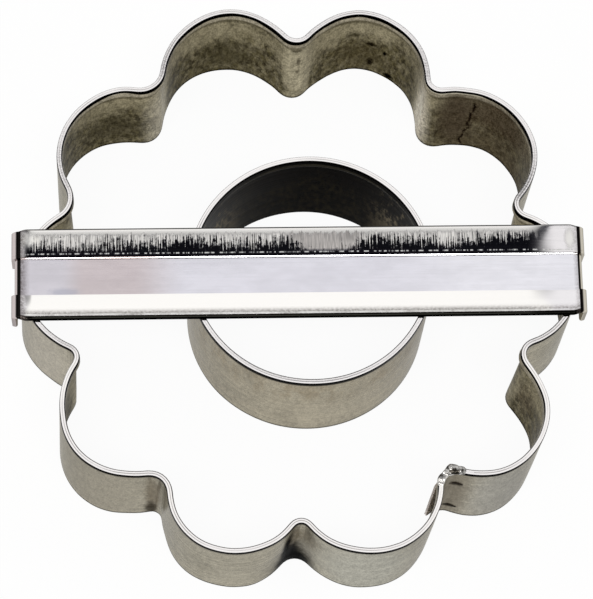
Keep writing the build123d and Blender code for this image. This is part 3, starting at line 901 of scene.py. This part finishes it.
def strapTin():
    look = strap["look"]
    material, shader, along, across = newMaterial("strapTin", look["edgeTint"])[:4]
    streaks, clouds, specks, comb, broken, patchy, strokes = [
        grain(along, across, *run) for run in look["grains"].values()]
    ragged, highlightGrain, dashed = [lineGrain(along, *run) for run in look["lineGrains"].values()]
    colour = look["leftEnd"]
    for start, end, tone in look["middle"]:
        colour = tint(between(along, start, end), colour, tone)
    colour = shaded(colour, between(clouds, 0.3, 0.7, 0.95, 1.05))
    middle = strapRuns[strapMarks["middle"]] + strap["width"] / 2 - strap["inset"]      # across, where y is 0
    shade = spot(along, across, look["shadeAt"], middle - 2.9, *look["shadeSize"])
    colour = tint(times(shade, 0.55), colour, look["shade"])
    roughness = between(streaks, 0.3, 0.7, *look["roughness"])
    # front fold: pale, greyer and speckled towards its edge as painted shade, with a painted highlight line, the
    # rounded edge itself painted near black as shade
    frontStart, frontEnd = strapRuns[2], strapRuns[strapMarks["frontTop"]]
    edgeTo = strapRuns[strapMarks["frontFold"]] + strap["edgeLine"]
    onFront = window(across, frontStart, frontStart + 0.05, frontEnd, frontEnd + 0.05)
    colour = tint(onFront, colour, look["front"])
    grey = times(onFront, between(across, edgeTo + 1.2, edgeTo + 0.2), between(specks, 0.38, 0.6, 0.55, 1.0))
    colour = tint(times(grey, 0.95), colour, look["frontGrey"])
    shine = window(across, edgeTo, edgeTo + 0.03, edgeTo + 0.26, edgeTo + 0.34)
    colour = tint(times(shine, between(highlightGrain, 0.35, 0.6, 0.35, 1.0)), colour, look["frontShine"])
    edge = window(across, frontStart - 0.1, frontStart, edgeTo - 0.04, edgeTo + 0.02)
    colour = tint(edge, colour, look["frontEdge"])
    # rear fold: painted black by its free edge as dark reflection, then scuffed crosswise in a fringe, bright and
    # smooth at the rear
    rearStart = strapRuns[strapMarks["rear"]]
    cutFrom = strapRuns[strapMarks["rear"] - 1] + strap["whiteEdge"]
    share = calc("DIVIDE", minus(across, rearStart), strap["rearFold"])
    onRear = times(between(across, cutFrom - 0.02, cutFrom + 0.02), between(share, 1.25, 1.2))
    fringe = plus(share, between(ragged, 0.3, 0.7, -0.12, 0.12))
    level = comb
    for value, zero, weight in ((share, 0.36, 0.5), (patchy, 0.5, 0.5), (broken, 0.5, 0.55)):
        level = plus(level, times(minus(value, zero), weight))
    patch = times(between(apart(along, 4.5), 7.0, 2.0), 0.2)
    level = plus(level, minus(patch, between(along, 25.0, 30.0, 0.0, 0.12)))
    combed = times(between(fringe, 0.8, 0.7), window(along, *look["combedPart"]))
    scuff = times(between(level, 0.5, 0.62), between(share, 0.08, 0.24), combed, onRear)
    colour = tint(onRear, colour, look["rear"])
    dark = times(onRear, window(along, *look["darkPart"]), between(fringe, 0.8, 0.66))
    colour = tint(dark, colour, look["rearDark"])
    # painted shadow line right along the free edge
    colour = tint(times(onRear, between(share, 0.03, -0.01)), colour, look["rearLine"])
    # painted highlight in dashes just behind the free edge
    dashes = times(window(share, 0.06, 0.08, 0.105, 0.125), between(dashed, 0.46, 0.56), onRear)
    colour = tint(dashes, colour, look["dashes"])
    bright = tint(between(apart(along, 4.0), 7.5, 4.0), look["scuff"], look["dullScuff"])
    colour = tint(scuff, colour, shaded(bright, between(strokes, 0.35, 0.65, 0.6, 1.0)))
    roughness = minus(roughness, times(dark, 0.05))
    roughness = plus(roughness, times(larger(scuff, dashes), 0.5))
    # painted shade line along the fold's rear edge
    colour = tint(between(share, 0.935, 0.965), colour, look["rearEdge"])
    # bright worn patches near both ends, partly painted highlight, brown tarnish beside both bends
    wearAndPaintedLight = times(larger(*[spot(along, across, u, rearStart + v, *size) for u, v, *size in look["wornSpots"]]), onRear)
    colour = tint(wearAndPaintedLight, colour, look["wearAndPaintedLight"])
    roughness = plus(roughness, times(wearAndPaintedLight, 0.3))
    tarnish = larger(window(along, *look["leftTarnish"]), times(window(along, *look["rightTarnish"]), 0.5))
    colour = tint(times(tarnish, between(specks, 0.3, 0.6, 0.35, 0.85)), colour, look["tarnish"])
    # tabs dull, with a black line of painted shade at each bend
    tab = tint(between(along, -1.0, 1.0), look["leftTab"], look["rightTab"])
    colour = tint(between(calc("ABSOLUTE", along), *look["tabFrom"]), colour, tab)
    bent = larger(window(along, *look["leftBend"]), window(along, *look["rightBend"]))
    colour = tint(bent, colour, look["bend"])
    dress(shader, colour, roughness, plus(times(streaks, 0.08), times(scuff, 0.6)), look["relief"])
    return material


buildStrap(strapTin())

# Solder over the seam's rims: a skin that lies on the rim and swells into lumps
seamSolder = {
    "before": 2.0, "after": 6.0, "skin": 0.16, "lumps": 0.2, "step": 0.06, "fade": 0.12, "sink": 0.03,
    "knobs": [(0.56, 0.75, 0.5, 0.5), (0.5, 0.35, 0.3, 0.45),
              (0.68, 0.3, 0.25, 0.6), (0.8, 0.5, 0.2, 0.5)],   # share along, share across, height, size
    "knobWidth": 0.28, "inside": [(0.6, 24.2), (0.4, 24.1), (0.2, 24.2)],
}
solderLook = {
    "colour": (0.6, 0.585, 0.56), "soot": (0.04, 0.036, 0.03), "relief": 0.00008,
    "lumps": (1400.0, 5.0), "sootSpread": (650.0, 4.0),   # noises: per m, detail
}


def solderTin():
    material, shader = newMaterial("solder")[:2]
    place = put("ShaderNodeTexCoord").outputs["Object"]
    lumps, soot = noiseAt(place, *solderLook["lumps"]), noiseAt(place, *solderLook["sootSpread"])
    colour = tint(between(soot, 0.5, 0.6), solderLook["colour"], solderLook["soot"])
    dress(shader, colour, between(lumps, 0.3, 0.7, 0.25, 0.45), lumps, solderLook["relief"])
    return material


def buildSeamSolder(material):
    first = -(slitRun + seamNotchRun + radians(seamSolder["before"]) * lobeCircle(flower["seamNotch"], 1.0)[1])
    length = radians(seamSolder["after"]) * seamRadius - slitRun - first
    over = [(x, z) for x, z, free in profile[hemMarks["outerRound"]:hemMarks["innerRound"]]]
    normals = []
    for i in range(len(over)):
        a, b = over[max(i - 1, 0)], over[min(i + 1, len(over) - 1)]
        normals.append(Vector((-(b[1] - a[1]), b[0] - a[0])).normalized())
    rows, runs = [], []
    for share in steps(0.0, 1.0, round(length / seamSolder["step"])):
        run = first + length * share
        spots = flowerAt(run)
        fade = endsEased(share, seamSolder["fade"])
        loop = []
        for k, (x, z) in enumerate(over):
            around = k / (len(over) - 1)
            lumps = wave(run * 1.3, around * 1.8, 61.0) + 0.4 * wave(run * 3.1, around * 4.0, 67.0)
            swell = seamSolder["skin"] + seamSolder["lumps"] * lumps
            for at, where, tall, size in seamSolder["knobs"]:
                away = ((share - at) * length / size) ** 2 + ((around - where) / seamSolder["knobWidth"]) ** 2
                swell += tall * exp(-away)
            swell = swell * fade * endsEased(around, seamSolder["fade"]) - seamSolder["sink"]
            inset = x + bandLean(run % flowerLength, z) + normals[k].x * swell
            loop.append(wallPoint(spots, inset, z + normals[k].y * swell))
        rows.append(loop + [wallPoint(spots, x + band["waviness"] * 0.5, z) for x, z in seamSolder["inside"]])
        runs.append(run)
    loftPiece("seamSolder", rows, runs, rows[len(rows) // 2], material, "band_seam_solder", 60)


solder = solderTin()
buildSeamSolder(solder)

# Spot welds: dark slugs through both layers of a lap, just proud of both faces
weld = {
    "length": 1.9, "width": 0.95, "proud": 0.03, "depth": 0.83, "edge": (0.02, 0.85), "endScale": 0.5,
    "points": 36, "ragged": 0.16, "edgeTint": 0.42, "relief": 0.00004,
    "burns": (3.0, 3.0, 71.0, 4.0), "burnt": ((0.006, 0.005, 0.004), (0.05, 0.038, 0.026)),
}


def weldTin():
    material, shader, along, across = newMaterial("weldScorch", weld["edgeTint"])[:4]
    burns = grain(along, across, *weld["burns"])
    colour = tint(between(burns, 0.35, 0.65), *weld["burnt"])
    dress(shader, colour, between(burns, 0.3, 0.7, 0.35, 0.6), burns, weld["relief"])
    return material


def buildWeld(name, lineAt, along, z, lean, material, node):
    half, depth, proud = weld["width"] / 2, weld["depth"], weld["proud"]
    straight = (weld["length"] - weld["width"]) / 2
    rim, rimScale = weld["edge"]
    end = weld["endScale"]
    layers = [(-proud, end), (-rim, rimScale), (0.0, 1.0)]
    layers += [(depth - inset, scale) for inset, scale in layers[::-1]]
    rows = []
    for inset, scale in layers:
        loop = []
        for turn in steps(0.0, 2 * pi, weld["points"])[:-1]:
            size = scale * (1.0 + weld["ragged"] * wave(cos(turn) * 2.1, sin(turn) * 2.1, z))
            u = (cos(turn) * half + (straight if cos(turn) > 0 else -straight)) * size
            loop.append(wallPoint(lineAt(along + u), inset + lean, z + sin(turn) * half * size))
        rows.append(loop)
    loftPiece(name, rows, [inset for inset, scale in layers], rows[2], material, node)


scorch = weldTin()
bandWeldAt = flowerLength + band["weldRun"]
ringWeldAt = ringLength * (1 - ring["lapTurn"] / 720)
for level, z in band["weldHeights"].items():
    lean = bandLean(bandWeldAt, z, 0.12)
    buildWeld("bandWeld" + level, flowerAt, bandWeldAt, z, lean, scorch, "band_weld_" + level.lower())
    lean = ringLean(ringWeldAt, z)
    buildWeld("ringWeld" + level, ringAt, ringWeldAt, z, lean, scorch, "ring_weld_" + level.lower())

# Solder behind the tabs, between each tab and the lobe it lies on
tabSolder = {
    "half": 3.2, "foot": 21.2, "top": 24.7, "face": 43.5, "ragged": 0.35, "fit": 0.12, "steps": 24, "hollow": 0.25,
}


def buildTabSolder(name, side, material, node):
    count = tabSolder["steps"]
    heights = steps(tabSolder["foot"], tabSolder["top"] - tabSolder["foot"], count)
    rows = []
    for z in heights:
        centre, radius = lobeCircle(0 if side > 0 else flower["lobes"] // 2, z / hem["height"])
        front, rear = [tabSolder["half"] + tabSolder["ragged"] * (wave(z * 0.9, 0.0, 81.0 + side * k) - 0.4)
                       for k in (1, 2)]
        loop = []
        for y in steps(-front, front + rear, count):
            lobeX = abs(centre.x) + sqrt(radius**2 - (y - centre.y) ** 2)
            loop.append(Vector((side * (lobeX - tabSolder["fit"]), y, z)))
        for k, y in enumerate(steps(rear, -(front + rear), count)):
            hollow = tabSolder["hollow"] * (bump(k, 0, 2.5) + bump(k, count, 2.5))
            gap = tabSolder["face"] - abs(centre.x) - sqrt(radius**2 - (y - centre.y) ** 2)
            loop.append(Vector((side * (tabSolder["face"] - 0.4 * gap * hollow), y * (1 + 0.1 * hollow), z)))
        rows.append(loop if side < 0 else loop[::-1])
    loftPiece(name, rows, heights, rows[0], material, node, 60)


for side, name in ((-1, "Left"), (1, "Right")):
    buildTabSolder("tabSolder" + name, side, solder, "tab_solder_" + name.lower())

# Solder beads that hold the strap on the ring's rim
ringBead = {"turn": 24.0, "leg": 0.9, "hollow": 0.35, "fade": 0.15, "steps": 60, "faceSteps": 10, "sink": 0.03}


def buildRingBead(name, middle, material, node):
    base, sink = hem["height"], ringBead["sink"]
    rows, runs = [], []
    for share in steps(0.0, 1.0, ringBead["steps"]):
        turn = middle + ringBead["turn"] * (share - 0.5)
        run = ((turn - ring["slit"]) % 360) / 360 * ringLength
        place, outward = ringAt(run)[1]
        size = ringBead["leg"] * (0.25 + 0.75 * endsEased(share, ringBead["fade"]))
        size *= 1 + 0.2 * wave(run * 1.3, 0.0, 91.0)
        section = []
        for t in steps(0.0, 1.0, ringBead["faceSteps"]):
            pull = ringBead["hollow"] * sin(pi * t) * size
            section.append((-size * t + pull * 0.6, base - size * (1 - t) + pull * 0.6))
        section += [(0.3, base), (0.2, base - 0.4)]
        rows.append([Vector((place.x - outward.x * (x + sink), place.y - outward.y * (x + sink), min(z, base)))
                     for x, z in section])
        runs.append(run)
    loftPiece(name, rows, runs, rows[len(rows) // 2], material, node, 60)


buildRingBead("ringBeadLeft", 180.0, solder, "ring_solder_left")
buildRingBead("ringBeadRight", 0.0, solder, "ring_solder_right")

# Floor, lamp and camera; seen directly or in metal the floor is nearly white, with the shadow kept on it
floorLook = {"reach": 3.0, "colour": (0.92, 0.92, 0.915), "roughness": 0.9, "specular": 0.1, "white": 0.94}


def buildFloor():
    reach = floorLook["reach"]
    mesh = bpy.data.meshes.new("floor")
    corners = [(-reach, -reach, 0), (reach, -reach, 0), (reach, reach, 0), (-reach, reach, 0)]
    mesh.from_pydata(corners, [], [(0, 1, 2, 3)])
    floor = bpy.data.objects.new("floor", mesh)
    material = bpy.data.materials.new("floorPaint")
    nodes = openTree(material)
    paint = nodes["Principled BSDF"]
    paint.inputs["Base Color"].default_value = (*floorLook["colour"], 1.0)
    paint.inputs["Roughness"].default_value = floorLook["roughness"]
    paint.inputs["Specular IOR Level"].default_value = floorLook["specular"]
    glow = put("ShaderNodeEmission")
    glow.inputs["Strength"].default_value = 1.0
    rays = put("ShaderNodeLightPath").outputs
    seen = larger(larger(rays["Is Camera Ray"], rays["Is Glossy Ray"]), rays["Is Transmission Ray"])
    mix = put("ShaderNodeMixShader")
    for value, socket in zip((times(seen, floorLook["white"]), paint.outputs[0], glow.outputs[0]), mix.inputs):
        join(value, socket)
    join(mix.outputs[0], nodes["Material Output"].inputs[0])
    mesh.materials.append(material)
    scene.collection.objects.link(floor)


buildFloor()


# Direction of a place seen from the cutter: degrees from the front, degrees up
def direction(turn, lift):
    a, e = radians(turn), radians(lift)
    return Vector((sin(a) * cos(e), -cos(a) * cos(e), sin(e)))


# Lamp beside the camera, sizes in m
keyLamp = {
    "turn": -7.0, "lift": 73.0, "distance": 2.2, "width": 1.5, "depth": 0.35,
    "brightness": 16.0, "colour": (1.0, 0.99, 0.975),
}


def addLamp():
    lamp = bpy.data.lights.new("key", "AREA")
    lamp.shape = "RECTANGLE"
    lamp.size, lamp.size_y = keyLamp["width"], keyLamp["depth"]
    lamp.energy = keyLamp["brightness"] * pi * lamp.size * lamp.size_y
    lamp.color = keyLamp["colour"]
    holder = bpy.data.objects.new("key", lamp)
    away = direction(keyLamp["turn"], keyLamp["lift"])
    holder.location = away * keyLamp["distance"]
    holder.rotation_mode = "QUATERNION"
    holder.rotation_quaternion = (-away).to_track_quat("-Z", "Y")
    scene.collection.objects.link(holder)


addLamp()

# Light tent round the cutter, by the angle from the front horizon over the top to the rear horizon
tent = {
    "panels": [
        (0, (0.1, 0.1, 0.1)), (25, (0.05, 0.05, 0.05)), (68, (0.06, 0.06, 0.06)), (72, (0.45, 0.45, 0.45)),
        (80, (0.5, 0.5, 0.5)), (88, (0.8, 0.8, 0.8)), (93, (1.05, 1.045, 1.04)), (103.5, (1.06, 1.055, 1.05)),
        (105, (0.95, 0.94, 0.985)), (111.3, (0.93, 0.92, 0.965)), (113.2, (0.05, 0.05, 0.06)),
        (121, (0.04, 0.04, 0.05)), (125, (0.42, 0.42, 0.42)), (131, (0.62, 0.62, 0.62)),
        (138, (0.9, 0.9, 0.9)), (145, (1.0, 1.0, 1.0)), (180, (1.0, 1.0, 1.0)),
    ],
    # sideways part of the direction: dimmer past the inner pair, plain past the outer pair
    "inner": (0.14, 0.3), "outer": (0.5, 0.7), "dim": 0.45, "plain": (0.95, 0.95, 0.95),
}


def buildTent():
    world = bpy.data.worlds.new("tent")
    scene.world = world
    nodes = openTree(world)
    across, forth, up = axes(put("ShaderNodeTexCoord").outputs["Generated"])
    panels = put("ShaderNodeValToRGB")
    join(calc("DIVIDE", calc("ARCTAN2", up, times(forth, -1.0)), pi), panels.inputs[0])
    stops = panels.color_ramp.elements
    for i, (angle, colour) in enumerate(tent["panels"]):
        stop = stops[0] if i == 0 else stops[-1] if angle == 180 else stops.new(angle / 180)
        stop.position = angle / 180
        stop.color = (*colour, 1.0)
    sideways = calc("ABSOLUTE", across)
    colour = shaded(panels.outputs[0], between(sideways, *tent["inner"], 1.0, tent["dim"]))
    colour = tint(between(sideways, *tent["outer"]), colour, tent["plain"])
    join(colour, nodes["Background"].inputs["Color"])


buildTent()

shot = {
    "turn": -7.808, "lift": 72.239, "roll": -6.822, "distance": 0.53051,
    "focal": 3284.0, "middle": (293.59, 322.86), "frame": (593, 599),   # pixels
    "sensor": 36.0, "clip": (0.01, 20.0),
}


def addCamera():
    lens = bpy.data.cameras.new("shot")
    camera = bpy.data.objects.new("shot", lens)
    a, r = radians(shot["turn"]), radians(shot["roll"])
    back = direction(shot["turn"], shot["lift"])
    right = Vector((cos(a), sin(a), 0.0))
    up = back.cross(right)
    right, up = cos(r) * right - sin(r) * up, sin(r) * right + cos(r) * up
    turn = Matrix((right, up, back)).transposed()
    camera.matrix_world = Matrix.Translation(back * shot["distance"]) @ turn.to_4x4()
    wide, tall = shot["frame"]
    long = max(wide, tall)
    lens.sensor_width = shot["sensor"]
    lens.lens = shot["focal"] / long * lens.sensor_width
    lens.shift_x = (wide / 2 - shot["middle"][0]) / long
    lens.shift_y = (shot["middle"][1] - tall / 2) / long
    lens.clip_start, lens.clip_end = shot["clip"]
    scene.collection.objects.link(camera)
    scene.camera = camera


addCamera()
print("floor, lamp and camera placed")
